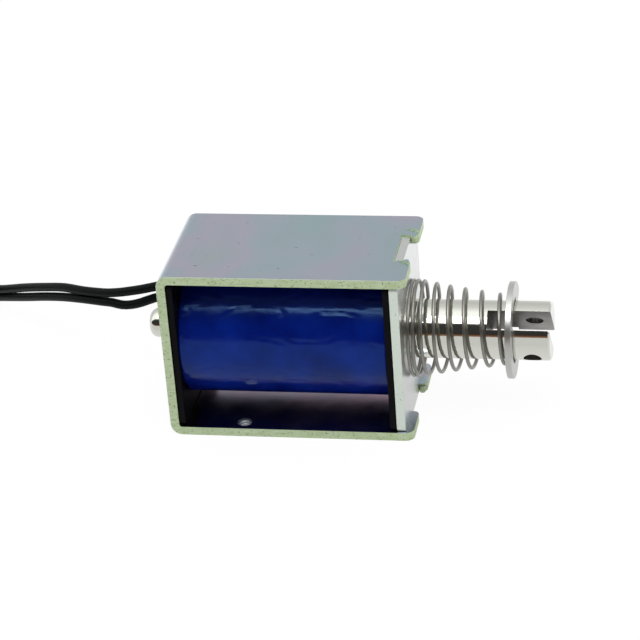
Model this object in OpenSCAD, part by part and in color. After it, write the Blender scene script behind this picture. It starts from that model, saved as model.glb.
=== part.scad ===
// Open frame push pull solenoid with a clevis plunger and a conical return spring.
// +X runs along the plunger towards its clevis, +Z is up, and Y is across the frame.
// The origin is the centre of the base, the underside of the lower frame flange.

/* [Frame] */
// Length of the bent frame, from its end wall to the tips of its prongs
frame_l = 41.5; // [38:0.5:50]
// Width of the frame across the plunger
frame_w = 24; // [23.5:0.5:30]
// Height of the frame over both flanges
frame_h = 30; // [28:0.5:36]
// Thickness of the sheet steel of the frame and the front plate
sheet_t = 1.5; // [1.2:0.1:2]
// Outer radius of the two bends
bend_r = 2; // [2:0.1:3]
// Plan radius of the free corners of the flanges
corner_r = 1.5; // [0.6:0.1:2]
// Length of the prongs beyond the front plate
prong_l = 1.3; // [1.2:0.1:2]
// Step back of the front plate and the bobbin from the edges of the frame
edge_step = 0.2; // [0.1:0.05:1]

/* [Front plate] */
// Corner radius of the front plate
plate_corner_r = 0.8; // [0.3:0.1:1.5]
// Width of the two tabs that the frame is staked over
tab_w = 9.2; // [6:0.1:12]
// Distance that the tabs stop short of the outer faces of the flanges
tab_step = 0.25; // [0:0.05:0.5]
// Radius of each staked lip that holds a tab
stake_r = 0.5; // [0.4:0.05:0.6]
// Radius of the punch mark beside each lip
punch_r = 1.25; // [1:0.05:1.3]
// Tilt of the punch, which makes the marks deeper towards the tips of the prongs
punch_tilt = 11; // [5:1:15]

/* [Mounting screws] */
// Tapping radius of the two screw holes in the base
screw_r = 1.25; // [1:0.05:1.3]
// Distance of the front screw hole from the end wall
screw_x = 12.4; // [8:0.1:16]
// Distance of each screw hole from its edge of the base
screw_edge = 2.2; // [2:0.1:3]

/* [Coil] */
// Thickness of the bobbin flanges
flange_t = 1; // [0.8:0.1:1.5]
// Wall of the bobbin tube
bobbin_wall = 0.8; // [0.6:0.1:1.2]
// Outer radius of the copper winding
winding_r = 10.8; // [10.7:0.1:11.2]
// Thickness of the blue tape round the winding
tape_t = 0.65; // [0.2:0.05:0.7]
// Wall of the brass guide tube
guide_wall = 0.32; // [0.2:0.02:0.4]

/* [Plunger] */
// Radius of the plunger
plunger_r = 5; // [4.5:0.1:5]
// Length of the plunger that stands out of the front plate
plunger_out = 23.65; // [22:0.05:30]
// Travel of the plunger
stroke = 10; // [6:0.5:10]
// Width of the clevis slot
slot_w = 3.4; // [2:0.1:3.6]
// Depth of the clevis slot
slot_depth = 10.4; // [8:0.1:12]
// Turn of the clevis slot about the plunger, from level
slot_turn = -47.5; // [-90:0.5:90]
// Radius of the cross hole through the clevis
cross_r = 1.5; // [1:0.05:1.7]
// Distance of the cross hole from the end of the plunger
cross_in = 3; // [2.5:0.1:4]
// Radius of the push rod
rod_r = 2.5; // [2:0.1:2.5]
// Length of the push rod that stands out of the end wall at rest
rod_out = 4.8; // [4:0.1:8]
// Rounding of the end of the push rod
rod_round = 1.4; // [0.3:0.1:1.6]

/* [Clip and spring] */
// Outer radius of the retaining clip
clip_r = 8.15; // [7.9:0.05:9]
// Thickness of the retaining clip
clip_t = 1; // [0.8:0.05:1.2]
// Radius of the groove that the clip sits in
groove_r = 3.95; // [3.6:0.05:4.1]
// Width of the mouth of the clip
clip_mouth = 6.5; // [5.5:0.1:6.8]
// Distance of the clip from the end of the plunger
clip_in = 7.1; // [6:0.1:8]
// Wire diameter of the spring
wire_d = 0.62; // [0.5:0.02:0.7]
// Turns of the spring
spring_turns = 8; // [6:1:8]
// Radius of the spring's centreline at the front plate
spring_big_r = 8; // [7.5:0.05:8.5]
// Radius of the spring's centreline at the clip
spring_small_r = 5.5; // [5.45:0.05:6.5]

/* [Leads] */
// Diameter of each lead over its insulation
lead_d = 1.65; // [1.2:0.05:1.65]
// Diameter of the bare ends of the leads
bare_d = 0.9; // [0.6:0.1:1]
// Length of the bare ends of the leads
bare_l = 5; // [3:0.5:8]

/* [Hidden] */
$fn = 96;
// Clearance of parts that are pressed, staked or laid together
fit_gap = 0.02;
// Running clearance of the plunger, the push rod and the clip
slide_gap = 0.08;
// End clearance of the bobbin between the end wall and the front plate
bobbin_gap = 0.1;
// Clearance round the front plate's tabs
tab_gap = 0.05;
// Overlap that keeps a cut from ending level with a face
over = 1;
// Radius of the reliefs in the inner corners of the notches
relief_r = 0.35;
axis_z = frame_h / 2;
plate_x = frame_l - prong_l - sheet_t;
plate_out_x = plate_x + sheet_t;
notch_half = tab_w / 2 + tab_gap;
screw_y = frame_w / 2 - screw_edge;
plate_w = frame_w - 2 * edge_step;
// Radius of the prongs' corners beside the tab
inner_corner_r = 0.9;
// Height of a staked lip, measured from the outer face of its flange
lip_h = sheet_t * 0.75;
// Middle of a punch mark, from the end wall and from the plunger's plane
punch_at = [frame_l - 1.4, notch_half + punch_r];
// Lowering of the tilted punch, so that its raised side is level with the flange
punch_drop = punch_r * sin(punch_tilt);

// Core: its spigot passes through the end wall and is staked over outside
core_r = plunger_r + slide_gap - fit_gap;
spigot_r = 4;
stake_head_r = 4.6;
stake_head_t = 0.6;
stake_head_bevel = 0.3;
core_bore_r = rod_r + slide_gap;
seat_x = 13;
seat_depth = 3;
seat_r = 3.25;
seat_rim_r = 4.75;
shim_t = 0.3;
shim_r = 3.15;

// Guide tube and bobbin
guide_r = plunger_r + slide_gap;
guide_out_r = guide_r + guide_wall;
bobbin_r = guide_out_r + slide_gap;
tube_out_r = bobbin_r + bobbin_wall;
bobbin_x0 = sheet_t + bobbin_gap;
bobbin_x1 = plate_x - bobbin_gap;
bobbin_w = frame_w - 2 * edge_step;
bobbin_h = frame_h - 2 * sheet_t - 0.3;
bobbin_corner_r = 1;
winding_x0 = bobbin_x0 + flange_t + fit_gap;
winding_x1 = bobbin_x1 - flange_t - fit_gap;

// Plunger, along X from the end wall
end_x = plate_out_x + plunger_out;
tip_x = seat_x + shim_t + stroke + 0.05;
tip_r = 3.05;
tip_cone_l = 3.9;
end_chamfer = 0.3;
pin_r = 2;
pin_l = 8;
clip_x = end_x - clip_in;
groove_side_gap = 0.05;
clip_bore_r = groove_r + 0.05;

// Clip: seat, lead-in at the mouth and the two reliefs beside the middle lug
relief_out_r = 5.6;
relief_from = 70;
relief_to = 150;
flare_r = 5.8;
flare_w = 2.2;

// Spring, from the front plate to the clip: closed turns, opening turns, last turn
wire_r = wire_d / 2;
spring_x0 = plate_out_x + wire_r + fit_gap;
spring_l = clip_x - wire_r - fit_gap - spring_x0;
closed_turns = 1.75;
closed_l = closed_turns * (wire_d + 0.14);
end_rise = 2.2 * wire_d;
opening_turns = spring_turns - closed_turns - 1;
opening_l = spring_l - closed_l - end_rise;
first_pitch = 0.735 * opening_l / opening_turns;
pitch_growth = (opening_l / opening_turns - first_pitch) / opening_turns;
spring_start = 61.4;
spring_steps = 28;

// Lead exit: a notch in the back edge of the end wall and of the bobbin flange
lead_r = lead_d / 2;
exit_y = winding_r - 2.4;
exit_z0 = 14.6;
exit_z1 = 19.3;
exit_corner_r = 0.5;
splice_x = 9;
splice_l = 4;
splice_r = 0.5;
pad_t = 0.2;
pocket_x1 = splice_x + splice_l + 1.5;
// Routes of the leads from the splices to the coil, measured from the end wall
upper_route = [
    [9, 9.4, 18], [4, 9.4, 18], [0, 9.4, 17.9], [-3, 9.5, 17.6], [-6.4, 9.6, 16.8],
    [-8.8, 9.9, 16.1], [-10.8, 10.4, 15.5], [-12.7, 11, 14.9], [-14.8, 11.8, 14.3],
    [-16.7, 12.7, 13.8], [-21, 15, 12.9], [-25.4, 18, 11.9], [-30.2, 21.6, 10],
    [-35.4, 25.8, 7.6], [-42.3, 31.4, 4.2], [-45.6, 34.6, 3.1], [-48.9, 38, 2.2],
    [-52.4, 41, 0.85]];
lower_route = [
    [9, 9.8, 15.6], [4, 9.8, 15.6], [0, 9.8, 15.5], [-3.3, 9.8, 15.2], [-6.7, 9.9, 14.4],
    [-9.1, 10.1, 13.4], [-11.1, 10.5, 12.7], [-13, 11.1, 12.3], [-15, 11.9, 12.3],
    [-17, 12.8, 12], [-21.2, 15.1, 11.2], [-25.7, 18.1, 9.9], [-30.5, 21.7, 8],
    [-35.6, 25.9, 5.6], [-42.7, 31.9, 2.3], [-46.2, 34.2, 1.1], [-49.8, 36.9, 0.85],
    [-53.5, 39.7, 0.85]];
// Coil that the rest of both leads is wound into, on the surface beside the frame
coil_at = [-58.8, 33.3];
coil_in_r = 8.3;
coil_out_r = 10;
coil_climb = 4.4;
coil_h = coil_climb + lead_d;
// Directions, from the middle of the coil, in which the two leads end
upper_end_turn = 100;
lower_end_turn = 260;

// Moves what is measured from the end wall into the part's own frame
module from_wall() {
    translate([-frame_l / 2, 0, 0]) children();
}

// Turns a shape that is revolved about Z so that it lies along the plunger's axis
module on_axis() {
    from_wall() translate([0, 0, axis_z]) rotate([0, 90, 0]) children();
}

// Ring between two radii and two places along the plunger's axis
module ring(r_in, r_out, x0, x1) {
    on_axis() rotate_extrude() translate([r_in, x0]) square([r_out - r_in, x1 - x0]);
}

// Rectangle with round corners, centred
module round_rect(w, h, r) {
    square([w - 2 * r, h], center = true);
    square([w, h - 2 * r], center = true);
    for (x = [-1, 1], y = [-1, 1]) translate([x * (w / 2 - r), y * (h / 2 - r)]) circle(r);
}

// Upright sheet of thickness t at place x, from an outline drawn in Y and Z
module upright(x, t) {
    from_wall() translate([x, 0, 0]) rotate([90, 0, 90]) linear_extrude(t) children();
}

// Side view of the bent strip: a rectangle with two round corners at the end wall
module bend_outline(x, r, l, h) {
    translate([x + r, -h / 2]) square([l - r, h]);
    translate([x, -h / 2 + r]) square([l, h - 2 * r]);
    for (s = [-1, 1]) translate([x + r, s * (h / 2 - r)]) circle(r);
}

module bent_strip() {
    from_wall() translate([0, frame_w / 2, axis_z]) rotate([90, 0, 0]) linear_extrude(frame_w)
        difference() {
            bend_outline(0, bend_r, frame_l, frame_h);
            bend_outline(sheet_t, bend_r - sheet_t, frame_l, frame_h - 2 * sheet_t);
        }
}

// Plan of one prong beside the tab, with both of its free corners rounded
module prong_plan() {
    y0 = notch_half;
    y1 = frame_w / 2;
    tip = frame_l - plate_x;
    translate([plate_x, y0]) square([tip - inner_corner_r, inner_corner_r]);
    translate([plate_x, y0 + inner_corner_r]) square([tip, y1 - y0 - inner_corner_r - corner_r]);
    translate([plate_x, y1 - corner_r]) square([tip - corner_r, corner_r]);
    translate([frame_l - inner_corner_r, y0 + inner_corner_r]) circle(inner_corner_r);
    translate([frame_l - corner_r, y1 - corner_r]) circle(corner_r);
}

// Plan of the strip: two prongs beside the tab, with relieved inner corners
module strip_plan() {
    difference() {
        translate([0, -frame_w / 2]) square([plate_x, frame_w]);
        relief_plan();
    }
    for (m = [0, 1]) mirror([0, m]) difference() {
        prong_plan();
        relief_plan();
    }
}

module relief_plan() {
    for (s = [-1, 1]) translate([plate_x + relief_r / 2, s * notch_half]) circle(relief_r);
}

// Half round lip on each side of the notch that is staked in front of the tab
module stake_lips() {
    for (s = [-1, 1]) translate([plate_out_x + fit_gap + stake_r, s * notch_half])
        circle(stake_r);
}

// Tilted round marks that the staking punch leaves in the prongs of the flanges
module punch_marks() {
    for (s = [-1, 1])
        from_wall() translate([punch_at[0], s * punch_at[1], frame_h - punch_drop])
            rotate([0, punch_tilt, 0]) cylinder(h = 2 * over, r = punch_r);
}

// Outline of the notch that the leads leave through, in Y and Z
module exit_outline() {
    h = exit_z1 - exit_z0;
    translate([exit_y + exit_corner_r, exit_z0]) square([frame_w, h]);
    translate([exit_y, exit_z0 + exit_corner_r]) square([frame_w, h - 2 * exit_corner_r]);
    for (z = [exit_z0 + exit_corner_r, exit_z1 - exit_corner_r])
        translate([exit_y + exit_corner_r, z]) circle(exit_corner_r);
}

// The two holes lie on a diagonal of the base
module screw_holes() {
    from_wall() for (p = [[screw_x, -screw_y], [plate_out_x - screw_x, screw_y]])
        translate([p[0], p[1], -over]) cylinder(h = sheet_t + 2 * over, r = screw_r);
}

module frame_bracket() {
    color("lightsteelblue") difference() {
        union() {
            intersection() {
                bent_strip();
                from_wall() linear_extrude(frame_h) strip_plan();
            }
            for (z = [0, frame_h - lip_h])
                from_wall() translate([0, 0, z]) linear_extrude(lip_h) stake_lips();
        }
        ring(0, spigot_r + fit_gap, -over, sheet_t + over);
        punch_marks();
        translate([0, 0, frame_h]) mirror([0, 0, 1]) punch_marks();
        screw_holes();
        upright(-over, sheet_t + 2 * over) exit_outline();
    }
}

module front_plate() {
    color("gainsboro") difference() {
        upright(plate_x, sheet_t) translate([0, axis_z]) {
            round_rect(plate_w, frame_h - 2 * sheet_t, plate_corner_r);
            square([tab_w, frame_h - 2 * tab_step], center = true);
        }
        ring(0, guide_out_r + fit_gap, plate_x - over, plate_out_x + over);
    }
}

module bobbin() {
    color("black") difference() {
        union() {
            ring(bobbin_r, tube_out_r, bobbin_x0, bobbin_x1);
            for (x = [bobbin_x0, bobbin_x1 - flange_t]) upright(x, flange_t)
                translate([0, axis_z]) difference() {
                    round_rect(bobbin_w, bobbin_h, bobbin_corner_r);
                    circle(bobbin_r);
                }
        }
        upright(bobbin_x0 - over, flange_t + 2 * over) exit_outline();
    }
}

// Space left in the winding for the splices of the leads
module splice_pocket() {
    from_wall() translate([winding_x0 - over, exit_y, exit_z0])
        cube([pocket_x1 - winding_x0 + over, winding_r, exit_z1 - exit_z0]);
}

module copper_winding() {
    color("peru") difference() {
        ring(tube_out_r + fit_gap, winding_r, winding_x0, winding_x1);
        splice_pocket();
    }
}

module splice_pad() {
    color("khaki") from_wall() translate([winding_x0, exit_y, exit_z0])
        cube([pocket_x1 - winding_x0, pad_t, exit_z1 - exit_z0]);
}

module splice(route) {
    from_wall() translate(route[0]) rotate([0, 90, 0]) cylinder(h = splice_l, r = splice_r);
}

module splice_upper() {
    color("silver") splice(upper_route);
}

module splice_lower() {
    color("silver") splice(lower_route);
}

module winding_tape() {
    color("mediumblue") ring(winding_r + fit_gap, winding_r + tape_t, winding_x0, winding_x1);
}

module guide_tube() {
    color("goldenrod") ring(guide_r, guide_out_r, bobbin_x0, plate_out_x);
}

module pole_core() {
    color("silver") on_axis() rotate_extrude() polygon([
        [core_bore_r, -stake_head_t], [stake_head_r - stake_head_bevel, -stake_head_t],
        [stake_head_r, stake_head_bevel - stake_head_t], [stake_head_r, 0], [spigot_r, 0],
        [spigot_r, sheet_t], [core_r, sheet_t], [core_r, seat_x + seat_depth],
        [seat_rim_r, seat_x + seat_depth], [seat_r, seat_x], [core_bore_r, seat_x]]);
}

module pole_shim() {
    color("goldenrod") ring(core_bore_r, shim_r, seat_x, seat_x + shim_t);
}

module plunger_blank() {
    on_axis() rotate_extrude() polygon([
        [pin_r + fit_gap, tip_x], [tip_r, tip_x], [plunger_r, tip_x + tip_cone_l],
        [plunger_r, clip_x - groove_side_gap], [groove_r, clip_x - groove_side_gap],
        [groove_r, clip_x + clip_t + groove_side_gap],
        [plunger_r, clip_x + clip_t + groove_side_gap],
        [plunger_r, end_x - end_chamfer], [plunger_r - end_chamfer, end_x],
        [0, end_x], [0, tip_x + pin_l], [pin_r + fit_gap, tip_x + pin_l]]);
}

module plunger() {
    color("whitesmoke") difference() {
        plunger_blank();
        from_wall() translate([end_x - slot_depth, 0, axis_z]) rotate([slot_turn, 0, 0]) {
            translate([0, -plunger_r - over, -slot_w / 2])
                cube([slot_depth + over, 2 * (plunger_r + over), slot_w]);
            translate([slot_depth - cross_in, 0, -plunger_r - over])
                cylinder(h = 2 * (plunger_r + over), r = cross_r);
        }
    }
}

module push_rod() {
    color("whitesmoke") on_axis() rotate_extrude() {
        translate([0, -rod_out + rod_round]) square([rod_r, tip_x + rod_out - rod_round]);
        translate([0, -rod_out]) square([rod_r - rod_round, rod_round]);
        intersection() {
            translate([rod_r - rod_round, -rod_out + rod_round]) circle(rod_round);
            translate([0, -rod_out]) square([rod_r, rod_out]);
        }
        translate([0, tip_x]) square([pin_r, pin_l - fit_gap]);
    }
}

// Spring clip of the three lug kind, drawn with its mouth towards +X
module clip_outline() {
    reach = 2 * relief_out_r;
    difference() {
        circle(clip_r);
        circle(clip_bore_r);
        translate([0, -clip_mouth / 2]) square([clip_r + over, clip_mouth]);
        for (s = [-1, 1]) {
            polygon([[flare_r, s * (clip_mouth / 2 - fit_gap)],
                [clip_r + over, s * (clip_mouth / 2 - fit_gap)],
                [clip_r + over, s * (clip_mouth / 2 + flare_w)]]);
            intersection() {
                circle(relief_out_r);
                polygon([[0, 0],
                    [reach * cos(relief_from), s * reach * sin(relief_from)],
                    [reach * cos(relief_to), s * reach * sin(relief_to)]]);
            }
        }
    }
}

module retaining_clip() {
    color("lightgray") upright(clip_x, clip_t) translate([0, axis_z]) clip_outline();
}

// Tube of n sides swept through a list of rings, as one closed mesh
module swept(rings) {
    n = len(rings[0]);
    last = len(rings) - 1;
    polyhedron(
        points = [for (ring = rings) each ring],
        faces = concat(
            [[for (i = [0 : n - 1]) n - 1 - i]],
            [for (k = [0 : last - 1], i = [0 : n - 1])
                [k * n + i, k * n + (i + 1) % n, (k + 1) * n + (i + 1) % n, (k + 1) * n + i]],
            [[for (i = [0 : n - 1]) last * n + i]]));
}

// Distance along the spring after m turns
function spring_along(m) =
    let (open_m = m - closed_turns)
    let (left_m = spring_turns - m)
    m < closed_turns ? closed_l * m / closed_turns :
    left_m > 1 ? closed_l + first_pitch * open_m + pitch_growth * open_m * open_m :
    spring_l - end_rise * left_m * left_m;

// Radius of the spring's centreline: even over the closed turns, then a cone
function spring_radius(m) =
    let (part_m = max(0, m - closed_turns) / (spring_turns - closed_turns))
    spring_big_r + (spring_small_r - spring_big_r) * part_m;

// Ring of eight points round the wire after m turns
function spring_ring(m) =
    let (a = spring_start + 360 * m)
    [for (i = [0 : 7])
        let (out = spring_radius(m) + wire_r * cos(45 * i))
        [spring_x0 + spring_along(m) + wire_r * sin(45 * i),
            out * cos(a), axis_z + out * sin(a)]];

module return_spring() {
    color("darkgray") from_wall()
        swept([for (k = [0 : spring_turns * spring_steps]) spring_ring(k / spring_steps)]);
}

// Direction of a route at a point, from its neighbours
function heading(route, k) =
    let (d = route[min(k + 1, len(route) - 1)] - route[max(k - 1, 0)])
    d / norm(d);

// Ring of eight points square to a route at a point
function lead_ring(route, k) =
    let (t = heading(route, k))
    let (side = cross(t, [0, 0, 1]) / norm(cross(t, [0, 0, 1])))
    let (up = cross(side, t))
    [for (i = [0 : 7]) let (b = 45 * i)
        route[k] + lead_r * (cos(b) * side + sin(b) * up)];

module lead(route) {
    color("dimgray") from_wall() swept([for (k = [0 : len(route) - 1]) lead_ring(route, k)]);
}

module lead_upper() {
    lead(upper_route);
}

module lead_lower() {
    lead(lower_route);
}

module lead_coil() {
    color("dimgray") from_wall() translate(coil_at) rotate_extrude()
        translate([coil_in_r - lead_r, 0])
            square([coil_out_r - coil_in_r + lead_d, coil_h]);
}

// Bare end of a lead, lying on the coil at radius r and angle a
module lead_end(r, a) {
    color("silver") from_wall() translate(coil_at) rotate([0, 0, a])
        translate([r, 0, coil_h + bare_d / 2]) rotate([-90, 0, 0])
            cylinder(h = bare_l, r = bare_d / 2);
}

module lead_end_upper() {
    lead_end(coil_out_r, upper_end_turn);
}

module lead_end_lower() {
    lead_end(coil_in_r, lower_end_turn);
}

frame_bracket();
front_plate();
bobbin();
copper_winding();
splice_pad();
splice_upper();
splice_lower();
winding_tape();
guide_tube();
pole_core();
pole_shim();
plunger();
push_rod();
retaining_clip();
return_spring();
lead_upper();
lead_lower();
lead_coil();
lead_end_upper();
lead_end_lower();
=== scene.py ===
"""Visual model of the open frame push pull solenoid, in metres, in the CAD model's frame."""
import math

import bmesh
import bpy
from mathutils import Matrix, Vector, noise


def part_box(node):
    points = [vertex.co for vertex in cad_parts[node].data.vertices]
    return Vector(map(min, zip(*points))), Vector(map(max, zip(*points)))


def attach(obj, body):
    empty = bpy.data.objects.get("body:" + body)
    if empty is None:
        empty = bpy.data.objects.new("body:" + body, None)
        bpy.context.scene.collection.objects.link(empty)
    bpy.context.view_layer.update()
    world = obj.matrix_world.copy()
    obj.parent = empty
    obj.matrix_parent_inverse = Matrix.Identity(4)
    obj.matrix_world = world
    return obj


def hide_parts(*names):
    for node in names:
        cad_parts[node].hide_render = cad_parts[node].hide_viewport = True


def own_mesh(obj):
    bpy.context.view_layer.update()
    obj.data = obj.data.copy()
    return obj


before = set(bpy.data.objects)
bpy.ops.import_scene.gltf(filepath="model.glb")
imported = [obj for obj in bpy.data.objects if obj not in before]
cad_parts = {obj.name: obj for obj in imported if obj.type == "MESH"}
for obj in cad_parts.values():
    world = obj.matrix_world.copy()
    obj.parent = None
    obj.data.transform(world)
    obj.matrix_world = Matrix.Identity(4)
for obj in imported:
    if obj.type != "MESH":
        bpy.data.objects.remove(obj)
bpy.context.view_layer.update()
MM = 0.001

# Places shared by several pieces, from the CAD nodes
PLATE_LOW, PLATE_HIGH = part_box("front_plate")
BASE_LOW, BASE_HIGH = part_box("frame_bracket")
TAPE_LOW, TAPE_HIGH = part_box("winding_tape")
WALL_X = BASE_LOW[0]
PLATE_IN, PLATE_OUT = PLATE_LOW[0], PLATE_HIGH[0]
CLIP_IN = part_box("retaining_clip")[0][0]
PLUNGER_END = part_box("plunger")[1][0]
AXIS_Z = (BASE_LOW[2] + BASE_HIGH[2]) / 2

# Sizes of the CAD that its boxes don't give
SHEET_T = 1.5 * MM
SLOT_HALF = 1.7 * MM
SLOT_DEPTH = 10.4 * MM
SLOT_TURN = math.radians(-47.5)
CROSS_HOLE_R = 1.5 * MM
CROSS_HOLE_IN = 3 * MM

# The base's two screw holes: X from the end wall and Y, in millimetres
SCREWS = ((12.4, -9.8), (27.8, 9.8))


# ---------------------------------------------------------------- camera
def add_camera():
    """A long lens in front of the part, above it and a little to the right."""
    data = bpy.data.cameras.new("front_camera")
    data.sensor_width = 36
    data.lens = 143.27
    data.clip_start, data.clip_end = 0.02, 20
    camera = bpy.data.objects.new("front_camera", data)
    place = Matrix.Translation((0.081877, -0.372082, 0.217972))
    right = Vector((0.98323355, 0.16913059, -0.0681662))
    up = Vector((-0.02039487, 0.47347011, 0.88057373))
    forward = Vector((-0.18120661, 0.8644194, -0.46898109))
    turn = Matrix((right, up, -forward)).transposed().to_4x4()
    camera.matrix_world = place @ turn
    bpy.context.scene.collection.objects.link(camera)
    bpy.context.scene.camera = camera


# ---------------------------------------------------------------- node trees
class Graph:
    """A node tree, with short calls to add and join its nodes."""

    def __init__(self, tree):
        self.tree = tree

    def feed(self, socket, value):
        """Joins a socket to another node's output, or gives it a plain value."""
        if isinstance(value, bpy.types.NodeSocket):
            self.tree.links.new(value, socket)
        else:
            socket.default_value = value

    def add(self, kind, **inputs):
        """A new node; the inputs are its sockets' names with _ for a space."""
        node = self.tree.nodes.new(kind)
        for key, value in inputs.items():
            self.feed(node.inputs[key.replace("_", " ")], value)
        return node

    def math(self, kind, a, b=0.0):
        node = self.add("ShaderNodeMath")
        node.operation = kind
        self.feed(node.inputs[0], a)
        self.feed(node.inputs[1], b)
        return node.outputs[0]

    def ramp(self, factor, stops):
        """Colours or grey levels at places from 0 to 1 along a ramp."""
        node = self.add("ShaderNodeValToRGB", Fac=factor)
        ramp = node.color_ramp
        while len(ramp.elements) < len(stops):
            ramp.elements.new(0.5)
        for element, (at, color) in zip(ramp.elements, stops):
            element.position = at
            element.color = (*color, 1) if isinstance(color, tuple) else (color,) * 3 + (1,)
        return node.outputs["Color"]

    def mix_shaders(self, share, first, second):
        """Two shaders' outputs mixed by a share."""
        node = self.add("ShaderNodeMixShader", Fac=share)
        self.feed(node.inputs[1], first)
        self.feed(node.inputs[2], second)
        return node.outputs[0]


# ---------------------------------------------------------------- materials
class Finish(Graph):
    """A material on object coordinates."""

    def __init__(self, name):
        self.material = bpy.data.materials.new(name)
        self.material.use_nodes = True
        super().__init__(self.material.node_tree)
        self.shader = self.tree.nodes["Principled BSDF"]
        self.place = self.add("ShaderNodeTexCoord").outputs["Object"]

    def set(self, **inputs):
        for key, value in inputs.items():
            self.feed(self.shader.inputs[key.replace("_", " ")], value)

    def stretched(self, scale):
        """Object coordinates scaled by a vector, to stretch a texture."""
        node = self.add("ShaderNodeMapping", Vector=self.place, Scale=scale)
        return node.outputs["Vector"]

    def noise(self, scale, detail=3.0, vector=None):
        node = self.add("ShaderNodeTexNoise", Scale=scale, Detail=detail)
        self.feed(node.inputs["Vector"], self.place if vector is None else vector)
        return node.outputs["Fac"]

    def mix(self, factor, a, b):
        """Two colours mixed by a factor."""
        node = self.add("ShaderNodeMix")
        node.data_type = "RGBA"
        for socket, value in ((0, factor), (6, a), (7, b)):
            self.feed(node.inputs[socket], value)
        return node.outputs[2]

    def bump(self, height, distance):
        node = self.add("ShaderNodeBump", Height=height, Distance=distance, Strength=1.0)
        self.set(Normal=node.outputs["Normal"])


def plated_sheet():
    """The outside of the strip: zinc plating with drifting tints and a few dark specks."""
    g = Finish("plated_sheet")
    tint = g.ramp(g.noise(55, 1.5), [(0.30, (0.45, 0.60, 0.63)), (0.44, (0.50, 0.59, 0.66)),
                                     (0.53, (0.57, 0.57, 0.67)), (0.62, (0.52, 0.58, 0.65)),
                                     (0.74, (0.54, 0.62, 0.61))])
    specks = g.ramp(g.noise(1, 2, g.stretched((700, 1500, 1500))), [(0.70, 0.0), (0.74, 1.0)])
    g.set(Base_Color=g.mix(g.math("MULTIPLY", specks, 0.6), tint, (0.12, 0.12, 0.12, 1)))
    g.set(Metallic=1.0, Roughness=g.ramp(g.noise(300, 4), [(0.3, 0.17), (0.7, 0.24)]))
    g.bump(g.noise(1, 3, g.stretched((400, 2500, 2500))), 0.004 * MM)
    return g.material


def inner_sheet():
    """The inside of the bent strip, painted darker than the outside as the shade inside it."""
    g = Finish("inner_sheet")
    # painted shade: the inside's tint is darker than the outside's, standing for the shade in the
    # enclosed inside
    tint = g.ramp(g.noise(120, 2), [(0.35, (0.26, 0.24, 0.30)), (0.65, (0.34, 0.24, 0.31))])
    g.set(Base_Color=tint, Metallic=1.0)
    g.set(Roughness=g.ramp(g.noise(300, 4), [(0.3, 0.15), (0.7, 0.24)]))
    g.bump(g.noise(1, 3, g.stretched((400, 2500, 2500))), 0.003 * MM)
    return g.material


def rolled_edge():
    """Outer corners of the sheared strip, painted near white as a highlight along the rolled edges."""
    g = Finish("rolled_edge")
    # painted highlight: the near-white, non-metal colour stands for the light caught on the rolled
    # corners
    shade = g.ramp(g.noise(900, 3), [(0.3, (0.86, 0.90, 0.91)), (0.7, (0.95, 0.97, 0.98))])
    g.set(Base_Color=shade, Metallic=0.0, Roughness=0.3)
    g.bump(g.noise(1500, 3), 0.006 * MM)
    return g.material


def cut_edge():
    """Sheared edge: pale and streaked, with fine dark pits where the strip tore."""
    g = Finish("cut_edge")
    pits = g.ramp(g.noise(1, 3, g.stretched((2600, 2600, 3400))), [(0.60, 0.0), (0.68, 1.0)])
    streaks = g.ramp(g.noise(1, 2, g.stretched((500, 2600, 2600))), [(0.3, 0.0), (0.7, 1.0)])
    pale = g.mix(streaks, (0.57, 0.70, 0.41, 1), (0.68, 0.82, 0.55, 1))
    g.set(Base_Color=g.mix(g.math("MULTIPLY", pits, 0.7), pale, (0.14, 0.15, 0.07, 1)))
    g.set(Metallic=0.35, Roughness=0.5)
    g.bump(g.noise(2600, 3), 0.012 * MM)
    return g.material


def pale_edge():
    """Sheared side of the front plate: pale, with a few dark pits."""
    g = Finish("pale_edge")
    pits = g.ramp(g.noise(1, 3, g.stretched((2400, 2400, 2400))), [(0.68, 0.0), (0.74, 1.0)])
    g.set(Base_Color=g.mix(g.math("MULTIPLY", pits, 0.6), (0.86, 0.96, 0.86, 1),
                           (0.2, 0.2, 0.16, 1)))
    g.set(Metallic=0.2, Roughness=0.45)
    g.bump(g.noise(2200, 3), 0.01 * MM)
    return g.material


def plated_plate():
    """The flat sides of the front plate, a little brighter than the strip."""
    g = Finish("plated_plate")
    tint = g.ramp(g.noise(90, 2), [(0.35, (0.74, 0.79, 0.77)), (0.65, (0.80, 0.81, 0.80))])
    g.set(Base_Color=tint, Metallic=1.0)
    g.set(Roughness=g.ramp(g.noise(500, 3), [(0.3, 0.26), (0.7, 0.34)]))
    g.bump(g.noise(1, 3, g.stretched((2500, 2500, 500))), 0.004 * MM)
    return g.material


def bright_steel():
    """Turned and polished steel, with fine marks round its axis."""
    g = Finish("bright_steel")
    g.set(Base_Color=(0.83, 0.84, 0.77, 1), Metallic=1.0)
    g.set(Roughness=g.ramp(g.noise(700, 3), [(0.3, 0.05), (0.7, 0.11)]))
    g.bump(g.noise(1, 2, g.stretched((9000, 300, 300))), 0.0012 * MM)
    return g.material


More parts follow.
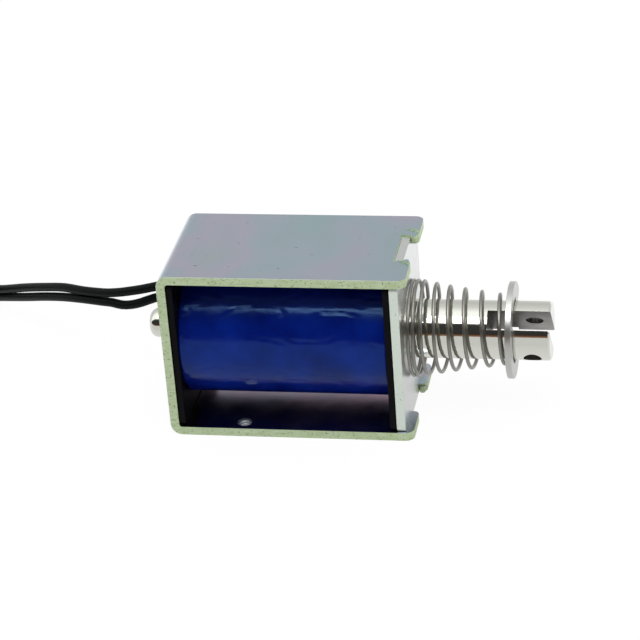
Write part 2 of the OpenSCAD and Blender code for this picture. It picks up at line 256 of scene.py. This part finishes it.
def milled_steel():
    """The sides of the slot and of the cross hole: cutter marks, and painted dark as shade in the
    slot, darkest towards the slot's end.
    """
    g = Finish("milled_steel")
    shade = g.ramp(g.noise(400, 3), [(0.3, (0.26, 0.25, 0.24)), (0.7, (0.42, 0.41, 0.39))])
    parts = g.add("ShaderNodeSeparateXYZ", Vector=g.place)
    # painted shade: the colour darkens towards the slot's end, deeper in the slot
    light = g.add("ShaderNodeMapRange", Value=parts.outputs["X"],
                  From_Min=PLUNGER_END - SLOT_DEPTH, From_Max=PLUNGER_END, To_Min=0.25, To_Max=1.0)
    shade = g.mix(light.outputs["Result"], (0.05, 0.045, 0.04, 1), shade)
    g.set(Base_Color=shade, Metallic=1.0, Roughness=0.38)
    g.bump(g.noise(1, 3, g.stretched((3500, 500, 500))), 0.006 * MM)
    return g.material


def plain_metal(name, color, roughness, grain=1500.0, depth=0.004):
    """An even metal; the depth of its grain is in millimetres."""
    g = Finish(name)
    shade = g.ramp(g.noise(grain * 0.4, 3), [(0.3, 0.82), (0.7, 1.0)])
    g.set(Base_Color=g.mix(shade, (*[c * 0.75 for c in color], 1), (*color, 1)))
    g.set(Metallic=1.0, Roughness=roughness)
    g.bump(g.noise(grain, 3), depth * MM)
    return g.material


def black_moulding():
    """Black moulded plastic of the bobbin."""
    g = Finish("black_moulding")
    g.set(Base_Color=(0.003, 0.003, 0.004, 1), Roughness=0.5, Specular_IOR_Level=0.1)
    g.bump(g.noise(3500, 2), 0.006 * MM)
    return g.material


def blue_tape():
    """Glossy deep blue film."""
    g = Finish("blue_tape")
    tint = g.ramp(g.noise(140, 3), [(0.35, (0.001, 0.008, 0.15)), (0.65, (0.002, 0.018, 0.25))])
    g.set(Base_Color=tint, Roughness=g.ramp(g.noise(260, 3), [(0.35, 0.10), (0.65, 0.22)]))
    g.set(IOR=1.5, Specular_Tint=(0.3, 0.6, 1.0, 1))
    g.bump(g.noise(700, 3), 0.015 * MM)
    return g.material


def black_insulation():
    """Soft black insulation of the leads."""
    g = Finish("black_insulation")
    g.set(Base_Color=(0.003, 0.005, 0.005, 1), Roughness=0.42, Specular_IOR_Level=0.1)
    g.bump(g.noise(2200, 2), 0.01 * MM)
    return g.material


def amber_film():
    """Amber film under the splices."""
    g = Finish("amber_film")
    g.set(Base_Color=(0.45, 0.20, 0.03, 1), Roughness=0.25)
    g.bump(g.noise(500, 2), 0.02 * MM)
    return g.material


def wound_copper():
    """Enamelled copper wire, wound in even rows."""
    g = Finish("wound_copper")
    wave = g.add("ShaderNodeTexWave", Vector=g.place, Scale=630.0, Distortion=0.3)
    g.set(Base_Color=g.mix(wave.outputs["Fac"], (0.30, 0.09, 0.03, 1), (0.62, 0.24, 0.10, 1)))
    g.set(Metallic=0.9, Roughness=0.3)
    g.bump(wave.outputs["Fac"], 0.05 * MM)
    return g.material


# ---------------------------------------------------------------- mesh tools
def to_object(name, mesh, *materials):
    obj = bpy.data.objects.new(name, mesh)
    bpy.context.scene.collection.objects.link(obj)
    for material in materials:
        mesh.materials.append(material)
    return obj


def baked(obj):
    """The object with its modifiers turned into plain mesh."""
    bpy.context.view_layer.update()
    graph = bpy.context.evaluated_depsgraph_get()
    mesh = bpy.data.meshes.new_from_object(obj.evaluated_get(graph))
    obj.modifiers.clear()
    obj.data = mesh
    return obj


def bevelled(node, material, width, first=None, edit=None, cuts=()):
    """A merged copy of a CAD node's mesh with its sharp edges rounded to a width in millimetres.

    Cuts are planes, each a point and a direction, that split flat faces round their holes.
    First changes the mesh before the rounding, and edit the object after it."""
    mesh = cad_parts[node].data.copy()
    mesh.materials.clear()
    bm = bmesh.new()
    bm.from_mesh(mesh)
    bmesh.ops.remove_doubles(bm, verts=bm.verts, dist=0.0004 * MM)
    bmesh.ops.dissolve_limit(bm, angle_limit=math.radians(0.4), verts=bm.verts, edges=bm.edges)
    for point, across in cuts:
        bmesh.ops.bisect_plane(bm, geom=bm.verts[:] + bm.edges[:] + bm.faces[:], dist=0.0002 * MM,
                               plane_co=point, plane_no=across)
    if first:
        first(bm)
    for face in bm.faces:
        face.smooth = True
    bm.to_mesh(mesh)
    bm.free()
    obj = to_object(node + "_piece", mesh, material)
    rounding = obj.modifiers.new("rounding", "BEVEL")
    rounding.width = width * MM
    rounding.segments = 2
    rounding.limit_method = "ANGLE"
    rounding.angle_limit = math.radians(32)
    rounding.loop_slide = False
    shading = obj.modifiers.new("shading", "WEIGHTED_NORMAL")
    shading.weight = 100
    baked(obj)
    if edit:
        edit(obj)
    return obj


def mesh_from(name, verts, faces):
    """A smooth mesh of points and faces; faces are tuples of indices into verts."""
    bm = bmesh.new()
    made = [bm.verts.new(v) for v in verts]
    for corners in faces:
        face = bm.faces.new([made[i] for i in corners])
        face.smooth = True
    mesh = bpy.data.meshes.new(name)
    bm.to_mesh(mesh)
    bm.free()
    return mesh


def banded(rows, around):
    """Faces between rows of points, each row closed round."""
    faces = []
    for k in range(rows - 1):
        for i in range(around):
            j = (i + 1) % around
            faces.append((k * around + i, k * around + j, (k + 1) * around + j, (k + 1) * around + i))
    return faces


def swept(points, radius, sides):
    """Points and faces of a round cord along a line, its rings turned as little as they can be."""
    verts = []
    count = len(points)
    side = None
    for k, p in enumerate(points):
        ahead = points[min(k + 1, count - 1)] - points[max(k - 1, 0)]
        ahead.normalize()
        if side is None:
            side = ahead.orthogonal().normalized()
        side = (side - ahead * side.dot(ahead)).normalized()
        other = ahead.cross(side)
        for i in range(sides):
            a = math.tau * i / sides
            verts.append(p + radius * (math.cos(a) * side + math.sin(a) * other))
    faces = banded(count, sides)
    faces.append(tuple(reversed(range(sides))))
    faces.append(tuple(range((count - 1) * sides, count * sides)))
    return verts, faces


def smooth_line(points, step):
    """Points every step along a smooth line through the given ones."""
    line = []
    count = len(points)
    for k in range(count - 1):
        p0, p1 = points[max(k - 1, 0)], points[k]
        p2, p3 = points[k + 1], points[min(k + 2, count - 1)]
        parts = max(2, round((p2 - p1).length / step))
        for i in range(parts):
            t = i / parts
            line.append(0.5 * (2 * p1 + (p2 - p0) * t + (2 * p0 - 5 * p1 + 4 * p2 - p3) * t * t
                               + (3 * p1 - p0 - 3 * p2 + p3) * t ** 3))
    line.append(points[-1].copy())
    return line


# ---------------------------------------------------------------- shapes by Geometry Nodes
class Shape(Graph):
    """A geometry node tree with named inputs for its sizes and one for its finish."""

    def __init__(self, name, **sizes):
        super().__init__(bpy.data.node_groups.new(name, "GeometryNodeTree"))
        self.sockets = {}
        for key, value in sizes.items():
            kind = "Int" if isinstance(value, int) else "Float"
            self.give(key.replace("_", " "), kind).default_value = value
        self.give("Finish", "Material")
        self.tree.interface.new_socket(name="Mesh", in_out="OUTPUT",
                                       socket_type="NodeSocketGeometry")
        self.given = self.tree.nodes.new("NodeGroupInput").outputs

    def give(self, label, kind):
        socket = self.tree.interface.new_socket(name=label, in_out="INPUT",
                                                socket_type="NodeSocket" + kind)
        self.sockets[label] = socket.identifier
        return socket

    def round_wire(self, curve):
        """A wire of the given radius and sides along a curve, closed at its ends."""
        ring = self.add("GeometryNodeCurvePrimitiveCircle", Resolution=self.given["Wire Sides"],
                        Radius=self.given["Wire Radius"])
        wire = self.add("GeometryNodeCurveToMesh", Curve=curve,
                        Profile_Curve=ring.outputs["Curve"], Fill_Caps=True)
        return wire.outputs["Mesh"]

    def end(self, geometry):
        """Makes copies real, gives the finish and sends the geometry out."""
        real = self.add("GeometryNodeRealizeInstances", Geometry=geometry)
        dressed = self.add("GeometryNodeSetMaterial", Geometry=real.outputs["Geometry"],
                           Material=self.given["Finish"])
        out = self.tree.nodes.new("NodeGroupOutput")
        self.feed(out.inputs[0], dressed.outputs["Geometry"])
        return self


def helix_shape():
    """Round strands, each a helix about Z, spread evenly round it."""
    s = Shape("helix_strands", Radius=1.0, Height=1.0, Turns=1.0, Wire_Radius=0.1,
              Wire_Sides=6, Strands=1)
    given = s.given
    spiral = s.add("GeometryNodeCurveSpiral", Resolution=36, Reverse=False, Height=given["Height"],
                   Rotations=given["Turns"], Start_Radius=given["Radius"],
                   End_Radius=given["Radius"])
    strand = s.round_wire(spiral.outputs[0])
    line = s.add("GeometryNodeMeshLine", Count=given["Strands"], Offset=(0, 0, 0))
    index = s.add("GeometryNodeInputIndex").outputs[0]
    angle = s.math("MULTIPLY", s.math("DIVIDE", index, given["Strands"]), math.tau)
    turn = s.add("ShaderNodeCombineXYZ", Z=angle)
    copies = s.add("GeometryNodeInstanceOnPoints", Points=line.outputs["Mesh"],
                   Instance=strand, Rotation=turn.outputs[0])
    return s.end(copies.outputs["Instances"])


def spring_shape():
    """A conical spring along X: closed turns, turns of growing pitch, then a closing last turn."""
    s = Shape("conical_spring", Turns=8, Closed_Turns=1.0, Closed_Pitch=0.001,
              First_Pitch=0.001, Pitch_Growth=0.0, End_Rise=0.001, Big_Radius=0.01,
              Small_Radius=0.01, Start_Angle=0.0, Wire_Radius=0.001, Wire_Sides=14, Steps=44)
    given = s.given
    turned = s.math("DIVIDE", s.add("GeometryNodeInputIndex").outputs[0], given["Steps"])
    closed = s.math("MINIMUM", turned, given["Closed Turns"])
    past = s.math("MAXIMUM", s.math("SUBTRACT", turned, given["Closed Turns"]), 0.0)
    free_turns = s.math("SUBTRACT", given["Turns"], given["Closed Turns"])
    opening = s.math("MINIMUM", past, s.math("SUBTRACT", free_turns, 1.0))
    last = s.math("SUBTRACT", past, opening)
    pitch = s.math("ADD", given["First Pitch"],
                   s.math("MULTIPLY", given["Pitch Growth"], opening))
    rise = s.math("MULTIPLY", s.math("SUBTRACT", 2.0, last), given["End Rise"])
    along = s.math("ADD", s.math("MULTIPLY", closed, given["Closed Pitch"]),
                   s.math("ADD", s.math("MULTIPLY", opening, pitch),
                          s.math("MULTIPLY", last, rise)))
    taper = s.math("SUBTRACT", given["Big Radius"], given["Small Radius"])
    taper = s.math("MULTIPLY", s.math("DIVIDE", past, free_turns), taper)
    radius = s.math("SUBTRACT", given["Big Radius"], taper)
    angle = s.math("ADD", given["Start Angle"], s.math("MULTIPLY", turned, math.tau))
    place = s.add("ShaderNodeCombineXYZ", X=along,
                  Y=s.math("MULTIPLY", radius, s.math("COSINE", angle)),
                  Z=s.math("MULTIPLY", radius, s.math("SINE", angle)))
    count = s.math("ADD", s.math("MULTIPLY", given["Turns"], given["Steps"]), 1.0)
    line = s.add("GeometryNodeMeshLine", Count=count)
    wound = s.add("GeometryNodeSetPosition", Geometry=line.outputs["Mesh"],
                  Position=place.outputs[0])
    curve = s.add("GeometryNodeMeshToCurve", Mesh=wound.outputs["Geometry"])
    return s.end(s.round_wire(curve.outputs["Curve"]))


def shaped(name, shape, material, place, **sizes):
    """A plain mesh made by a shape tree with its sizes, moved to its place."""
    obj = to_object(name, bpy.data.meshes.new(name))
    maker = obj.modifiers.new("shape", "NODES")
    maker.node_group = shape.tree
    for key, value in sizes.items():
        maker[shape.sockets[key.replace("_", " ")]] = value
    maker[shape.sockets["Finish"]] = material
    baked(obj)
    obj.data.transform(place)
    for polygon in obj.data.polygons:
        polygon.use_smooth = True
    return obj


def joined(target, *others):
    """Adds other objects' meshes to the target's, keeping their materials."""
    bm = bmesh.new()
    bm.from_mesh(target.data)
    for other in others:
        offset = len(target.data.materials)
        for material in other.data.materials:
            target.data.materials.append(material)
        before = len(bm.faces)
        bm.from_mesh(other.data)
        bm.faces.ensure_lookup_table()
        for face in bm.faces[before:]:
            face.material_index += offset
        bpy.data.objects.remove(other)
    bm.to_mesh(target.data)
    bm.free()


# ---------------------------------------------------------------- leads
def from_wall(*points):
    """Points in millimetres, with X measured from the end wall's outer face."""
    return [Vector((x * MM + WALL_X, y * MM, z * MM)) for x, y, z in points]


# A hair under the CAD's radius, so that the round cord stays within it
LEAD_R = 0.82 * MM

# Each lead's free run, from its splice to where it joins the coil
UPPER_ROUTE = from_wall(
    (9, 9.4, 18), (4, 9.4, 18), (0, 9.4, 17.9), (-3, 9.5, 17.6), (-6.4, 9.6, 16.8),
    (-8.8, 9.9, 16.1), (-10.8, 10.4, 15.5), (-12.7, 11, 14.9), (-14.8, 11.8, 14.3),
    (-16.7, 12.7, 13.8), (-21, 15, 12.9), (-25.4, 18, 11.9), (-30.2, 21.6, 10),
    (-35.4, 25.8, 7.6), (-42.3, 31.4, 4.2), (-45.6, 34.6, 3.1), (-48.9, 38, 2.2),
    (-52.4, 41, 0.85))
LOWER_ROUTE = from_wall(
    (9, 9.8, 15.6), (4, 9.8, 15.6), (0, 9.8, 15.5), (-3.3, 9.8, 15.2), (-6.7, 9.9, 14.4),
    (-9.1, 10.1, 13.4), (-11.1, 10.5, 12.7), (-13, 11.1, 12.3), (-15, 11.9, 12.3),
    (-17, 12.8, 12), (-21.2, 15.1, 11.2), (-25.7, 18.1, 9.9), (-30.5, 21.7, 8),
    (-35.6, 25.9, 5.6), (-42.7, 31.9, 2.3), (-46.2, 34.2, 1.1), (-49.8, 36.9, 0.85),
    (-53.5, 39.7, 0.85))


def coil_line(centre, start, radius, whole_turns, end_turn, top, lift):
    """A coil that climbs from the start point to a direction in degrees, its end laid on top."""
    steps_a_turn = 30
    settling_share = 1 / 6
    lifted_angle = 0.9
    a0 = math.atan2(start.y - centre.y, start.x - centre.x)
    r0 = math.hypot(start.x - centre.x, start.y - centre.y)
    sweep = (math.radians(end_turn) - a0) % math.tau + math.tau * whole_turns
    count = round(sweep / math.tau * steps_a_turn)
    line = []
    for k in range(1, count + 1):
        t = k / count
        a = a0 + sweep * t
        r = r0 + (radius - r0) * min(1, t / settling_share)
        last = max(0.0, 1 - (1 - t) * sweep / lifted_angle)
        z = start.z + (top - start.z) * t + lift * last * last * (3 - 2 * last)
        line.append(Vector((centre.x + r * math.cos(a), centre.y + r * math.sin(a), z)))
    return line


def add_lead(name, route, radius, end_turn, material):
    """One lead: its free run, then the coil that holds the rest of it.

    The run stays on the floor where it reaches it."""
    low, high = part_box("lead_coil")
    centre = Vector(((low[0] + high[0]) / 2, (low[1] + high[1]) / 2, 0))
    run = smooth_line(route, 1.6 * MM)
    for point in run:
        point.z = max(point.z, LEAD_R)
    line = run + coil_line(centre, run[-1], radius, whole_turns=2, end_turn=end_turn,
                           top=high[2] - LEAD_R, lift=LEAD_R + 0.45 * MM)
    verts, faces = swept(line, LEAD_R, 12)
    obj = to_object(name + "_piece", mesh_from(name, verts, faces), material)
    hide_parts(name)
    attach(obj, "housing")
    return obj, line


def add_tip(name, helix, material, line):
    """Six tinned strands that stand out of a lead's end."""
    ahead = (line[-1] - line[-3]).normalized()
    turn = ahead.to_track_quat("Z", "Y").to_matrix().to_4x4()
    inside = 0.3 * MM
    place = Matrix.Translation(line[-1] - ahead * inside) @ turn
    obj = shaped(name + "_piece", helix, material, place, Radius=0.27 * MM, Height=5.2 * MM,
                 Turns=0.9, Wire_Radius=0.145 * MM, Wire_Sides=8, Strands=6)
    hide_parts(name)
    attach(obj, "housing")
    return obj


# ---------------------------------------------------------------- housing
def mark_edges(obj, cut, rolled, inner):
    """Gives the sheared edges their own finish, the rolled outer corners a near-white finish as a
    painted highlight, and the inside and the screw holes' walls a darker finish as painted shade.
    """
    for finish in (cut, rolled, inner):
        obj.data.materials.append(finish)
    slack = 0.1 * MM
    bored = 1.4 * MM
    for polygon in obj.data.polygons:
        n, c = polygon.normal, polygon.center
        side = abs(c.y) > BASE_HIGH[1] - 0.4 * MM
        depth = min(c.z - BASE_LOW[2], BASE_HIGH[2] - c.z)
        prong = (c.x > PLATE_OUT - SHEET_T - slack and depth < SHEET_T + slack
                 and abs(n.z) < 0.5)
        hole = min(math.hypot(c.x - WALL_X - x * MM, c.y - y * MM) for x, y in SCREWS)
        inside = WALL_X + SHEET_T - slack < c.x < PLATE_IN and depth > SHEET_T - slack
        if side and abs(n.y) > 0.9 or prong:
            polygon.material_index = 1
        elif side and abs(n.y) > 0.1:
            # painted highlight: the rolled corners get the near-white finish
            polygon.material_index = 2
        elif inside or hole < bored:
            # painted shade: the inside and the screw holes' walls get the darker finish
            polygon.material_index = 3


def mark_plate(obj, edge):
    """Gives the sheared sides of the front plate and of its tabs a paler finish."""
    obj.data.materials.append(edge)
    for polygon in obj.data.polygons:
        if abs(polygon.normal.y) > 0.8:
            polygon.material_index = 1


def roll_edges(bm):
    """Rounds the outer edges of the bent strip, which the shears rolled over."""
    def outer(face):
        n, c = face.normal, face.calc_center_median()
        top = n.z > 0.3 and c.z > BASE_HIGH[2] - MM
        base = n.z < -0.3 and c.z < BASE_LOW[2] + MM
        wall = n.x < -0.3 and c.x < WALL_X + MM
        return abs(n.y) < 0.1 and (top or base or wall)

    edges = []
    rim = BASE_HIGH[1] - 0.1 * MM
    for edge in bm.edges:
        if len(edge.link_faces) == 2:
            a, b = edge.link_faces
            if abs(b.normal.y) < abs(a.normal.y):
                a, b = b, a
            if outer(a) and abs(b.normal.y) > 0.9 and abs(edge.verts[0].co.y) > rim:
                edges.append(edge)
    bmesh.ops.bevel(bm, geom=edges, offset=0.26 * MM, offset_type="OFFSET", segments=3,
                    profile=0.5, affect="EDGES", clamp_overlap=True)


def add_frame(helix, sheet, crest, cut, rolled, inner):
    """The bent strip with its edges' finishes, a painted highlight on its rolled corners and painted
    shade inside, and the threads of its screw holes.
    """
    prong_roots = ((PLATE_IN, 0, 0), (1, 0, 0))
    obj = bevelled("frame_bracket", sheet, 0.07, first=roll_edges, cuts=(prong_roots,),
                   edit=lambda o: mark_edges(o, cut, rolled, inner))
    threads = []
    thread_start = 0.1 * MM
    for x, y in SCREWS:
        place = Matrix.Translation((WALL_X + x * MM, y * MM, thread_start))
        threads.append(shaped("thread", helix, crest, place, Radius=1.22 * MM, Height=1.3 * MM,
                              Turns=2.6, Wire_Radius=0.13 * MM, Wire_Sides=6, Strands=1))
    joined(obj, *threads)
    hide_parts("frame_bracket")
    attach(obj, "housing")


def mark_slot(obj, milled, shaded):
    """Gives the sides of the slot and the cross hole's wall their milled finish with painted shade,
    and the slot's end a dark brown as painted shade.
    """
    obj.data.materials.append(milled)
    obj.data.materials.append(shaded)
    slack = 0.02 * MM
    cos, sin = math.cos(SLOT_TURN), math.sin(SLOT_TURN)
    for polygon in obj.data.polygons:
        c, n = polygon.center, polygon.normal
        if c.x < PLUNGER_END - SLOT_DEPTH - 0.1 * MM:
            continue
        y, z = c.y, c.z - AXIS_Z
        across = abs(cos * z - sin * y)
        square_to = abs(cos * n.z - sin * n.y)
        hole = math.hypot(c.x - (PLUNGER_END - CROSS_HOLE_IN), cos * y + sin * z)
        if across < SLOT_HALF + slack and square_to > 0.97:
            polygon.material_index = 1
        elif across < 1.6 * MM and n.x > 0.95 and c.x < PLUNGER_END - 9 * MM:
            # painted shade: the slot's end wall gets the dark brown
            polygon.material_index = 2
        elif hole < CROSS_HOLE_R + slack and square_to < 0.1:
            polygon.material_index = 1


def add_plain(node, material, width, body="housing", edit=None, cuts=()):
    """A CAD node dressed as it is, with its edges rounded to a width in millimetres."""
    obj = bevelled(node, material, width, edit=edit, cuts=cuts)
    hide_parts(node)
    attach(obj, body)


def tape_point(x, a, outer):
    """A point of the creased film; a is the angle from +Y towards +Z.

    The creases lie on a pattern in millimetres, and lower the film by depths in millimetres."""
    least, creased, rippled, sagged = 0.04, 0.05, 0.02, 0.07
    pattern_r = 11.4
    p = Vector((x / MM, math.cos(a) * pattern_r, math.sin(a) * pattern_r))
    crease = abs(noise.noise(Vector((p.x * 0.12, p.y * 0.55, p.z * 0.55 + 7))))
    ripple = noise.noise(Vector((p.x * 0.8, p.y * 1.8 + 3, p.z * 1.8)))
    sag = noise.noise(Vector((p.x * 0.10 + 5, p.y * 0.15, p.z * 0.15)))
    depth = (least + creased * (1 - min(1, crease * 8)) + rippled * (ripple + 1) / 2
             + sagged * (sag + 1) / 2)
    r = outer - depth * MM
    return Vector((x, r * math.cos(a), AXIS_Z + r * math.sin(a)))


def add_tape(material):
    """Tape wound on the coil: a closed sleeve with the creases of thin film."""
    start, end = TAPE_LOW[0], TAPE_HIGH[0]
    outer = (TAPE_HIGH[2] - TAPE_LOW[2]) / 2
    inner = outer - 0.55 * MM
    around, along = 220, 120
    angles = [math.tau * i / around for i in range(around)]
    verts = []
    for k in range(along + 1):
        x = start + (end - start) * k / along
        verts += [tape_point(x, a, outer) for a in angles]
    for x in (start, end):
        verts += [Vector((x, inner * math.cos(a), AXIS_Z + inner * math.sin(a))) for a in angles]
    outside = [(a, d, c, b) for a, b, c, d in banded(along + 1, around)]
    far, inner_start, inner_end = (row * around for row in (along, along + 1, along + 2))
    rims = []
    for i in range(around):
        j = (i + 1) % around
        rims.append((inner_start + i, i, j, inner_start + j))
        rims.append((far + i, inner_end + i, inner_end + j, far + j))
        rims.append((inner_end + i, inner_start + i, inner_start + j, inner_end + j))
    mesh = mesh_from("winding_tape", verts, outside + rims)
    obj = to_object("winding_tape_piece", mesh, material)
    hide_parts("winding_tape")
    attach(obj, "housing")


# ---------------------------------------------------------------- spring
def add_spring(material):
    """The return spring between the front plate and the clip, by the same rule as in the CAD."""
    wire = 0.62 * MM
    fit_gap = 0.02 * MM
    turns, closed_turns = 8, 1.75
    closed_pitch = wire + 0.14 * MM
    end_rise = 2.2 * wire
    start = PLATE_OUT + wire / 2 + fit_gap
    length = CLIP_IN - wire / 2 - fit_gap - start
    opening_turns = turns - closed_turns - 1
    mean_pitch = (length - closed_turns * closed_pitch - end_rise) / opening_turns
    first_pitch = 0.735 * mean_pitch
    place = Matrix.Translation((start, 0, AXIS_Z))
    obj = shaped("return_spring_piece", spring_shape(), material, place, Turns=turns,
                 Closed_Turns=closed_turns, Closed_Pitch=closed_pitch, First_Pitch=first_pitch,
                 Pitch_Growth=(mean_pitch - first_pitch) / opening_turns, End_Rise=end_rise,
                 Big_Radius=8 * MM, Small_Radius=5.5 * MM, Start_Angle=math.radians(61.4),
                 Wire_Radius=wire / 2)
    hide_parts("return_spring")
    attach(obj, "housing")
    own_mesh(obj)


# ---------------------------------------------------------------- stage
def add_world():
    """A studio: white to the camera, bright overhead and dim behind the camera.

    The light goes by the angle round X in degrees: 0 towards -Y, 90 up and 180 towards +Y."""
    levels = ((-180, 0.55), (-90, 0.6), (-10, 0.6), (-1, (0.28, 0.16, 0.1)),
              (5, (0.12, 0.055, 0.03)), (9, (0.03, 0.022, 0.02)), (16, 0.03), (46, 0.03),
              (52, 0.25), (56, 1.0), (94, 1.0), (104, 0.85), (120, 0.62), (150, 0.5), (180, 0.6))
    world = bpy.data.worlds.new("studio")
    bpy.context.scene.world = world
    world.use_nodes = True
    g = Graph(world.node_tree)
    g.tree.nodes.clear()
    direction = g.add("ShaderNodeTexCoord").outputs["Generated"]
    parts = g.add("ShaderNodeSeparateXYZ", Vector=direction).outputs
    angle = g.math("ARCTAN2", parts["Z"], g.math("MULTIPLY", parts["Y"], -1))
    share = g.add("ShaderNodeMapRange", Value=angle, From_Min=-math.pi, From_Max=math.pi)
    color = g.ramp(share.outputs["Result"],
                   [((degrees + 180) / 360, level) for degrees, level in levels])
    room = g.add("ShaderNodeBackground", Color=color, Strength=1.15)
    white = g.add("ShaderNodeBackground", Color=(1, 1, 1, 1))
    seen = g.add("ShaderNodeLightPath").outputs["Is Camera Ray"]
    g.add("ShaderNodeOutputWorld", Surface=g.mix_shaders(seen, room.outputs[0], white.outputs[0]))


def add_floor():
    """A pale floor, white to the camera and in metal, that keeps a faint shadow of the object."""
    material = bpy.data.materials.new("pale_floor")
    material.use_nodes = True
    g = Graph(material.node_tree)
    g.tree.nodes.clear()
    cloth = g.add("ShaderNodeBsdfDiffuse", Color=(0.85, 0.85, 0.85, 1))
    place = g.add("ShaderNodeNewGeometry").outputs["Position"]
    parts = g.add("ShaderNodeSeparateXYZ", Vector=place).outputs
    fade = g.add("ShaderNodeMapRange", Value=parts["Y"], From_Min=-0.03, From_Max=0.06,
                 To_Min=0.62, To_Max=1.05)
    mirrored = g.add("ShaderNodeEmission", Strength=fade.outputs["Result"])
    glow = g.add("ShaderNodeEmission", Strength=1.02)
    rays = g.add("ShaderNodeLightPath").outputs
    last = cloth.outputs[0]
    for ray, share, light in (("Is Glossy Ray", 0.9, mirrored), ("Is Camera Ray", 0.93, glow)):
        last = g.mix_shaders(g.math("MULTIPLY", rays[ray], share), last, light.outputs[0])
    g.add("ShaderNodeOutputMaterial", Surface=last)
    half = 1.5
    verts = [(x * half, y * half, 0) for x, y in ((-1, -1), (1, -1), (1, 1), (-1, 1))]
    floor = to_object("floor", mesh_from("floor", verts, [(0, 1, 2, 3)]), material)


def add_light(name, at, aim, size, power):
    """A rectangular lamp at a point, turned to the aim."""
    data = bpy.data.lights.new(name, "AREA")
    data.shape = "RECTANGLE"
    data.size, data.size_y = size
    data.energy = power
    lamp = bpy.data.objects.new(name, data)
    lamp.location = at
    lamp.rotation_mode = "QUATERNION"
    lamp.rotation_quaternion = (Vector(aim) - Vector(at)).to_track_quat("-Z", "Y")
    bpy.context.scene.collection.objects.link(lamp)


# ---------------------------------------------------------------- build
bpy.context.scene.view_settings.view_transform = "Standard"
add_camera()

insulation = black_insulation()
tin = plain_metal("tinned_wire", (0.78, 0.78, 0.76), 0.28)
helix = helix_shape()
upper, upper_line = add_lead("lead_upper", UPPER_ROUTE, 10 * MM, 100, insulation)
lower, lower_line = add_lead("lead_lower", LOWER_ROUTE, 8.3 * MM, 260, insulation)
upper_tip = add_tip("lead_end_upper", helix, tin, upper_line)
lower_tip = add_tip("lead_end_lower", helix, tin, lower_line)
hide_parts("lead_coil")
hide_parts("lead_coil")

steel = bright_steel()
brass = plain_metal("drawn_brass", (0.80, 0.58, 0.26), 0.25)
crest = plain_metal("thread_crest", (0.42, 0.52, 0.50), 0.35)
add_frame(helix, plated_sheet(), crest, cut_edge(), rolled_edge(), inner_sheet())

# Planes through the axis, which split a flat face that has a round hole
quarters = (((0, 0, AXIS_Z), (0, 1, 0)), ((0, 0, AXIS_Z), (0, 0, 1)))
edge = pale_edge()
add_plain("front_plate", plated_plate(), 0.10, cuts=quarters,
          edit=lambda o: mark_plate(o, edge))
add_plain("bobbin", black_moulding(), 0.12, cuts=quarters)
add_tape(blue_tape())
add_plain("copper_winding", wound_copper(), 0.15)
add_plain("splice_pad", amber_film(), 0.03)
add_plain("splice_upper", tin, 0.12)
add_plain("splice_lower", tin, 0.12)
add_plain("guide_tube", brass, 0.06)
add_plain("pole_core", plain_metal("core_steel", (0.62, 0.62, 0.62), 0.3), 0.08)
add_plain("pole_shim", brass, 0.04)
milled = milled_steel()
# painted shade: the slot's end wall is dark brown, standing for the shade deep in the slot
shaded = plain_metal("slot_end", (0.10, 0.075, 0.05), 0.3)
add_plain("plunger", steel, 0.06, "plunger_and_rod",
          edit=lambda o: mark_slot(o, milled, shaded))
add_plain("push_rod", steel, 0.05, "plunger_and_rod")
add_plain("retaining_clip", plain_metal("clip_steel", (0.68, 0.69, 0.66), 0.36), 0.08,
          "clip_carrier")
add_spring(plain_metal("spring_wire", (0.35, 0.34, 0.31), 0.35, grain=2500, depth=0.002))

add_world()
add_floor()
add_light("overhead_softbox", (0.05, -0.35, 0.75), (0, 0, 0.015), (0.5, 0.4), 2.2)
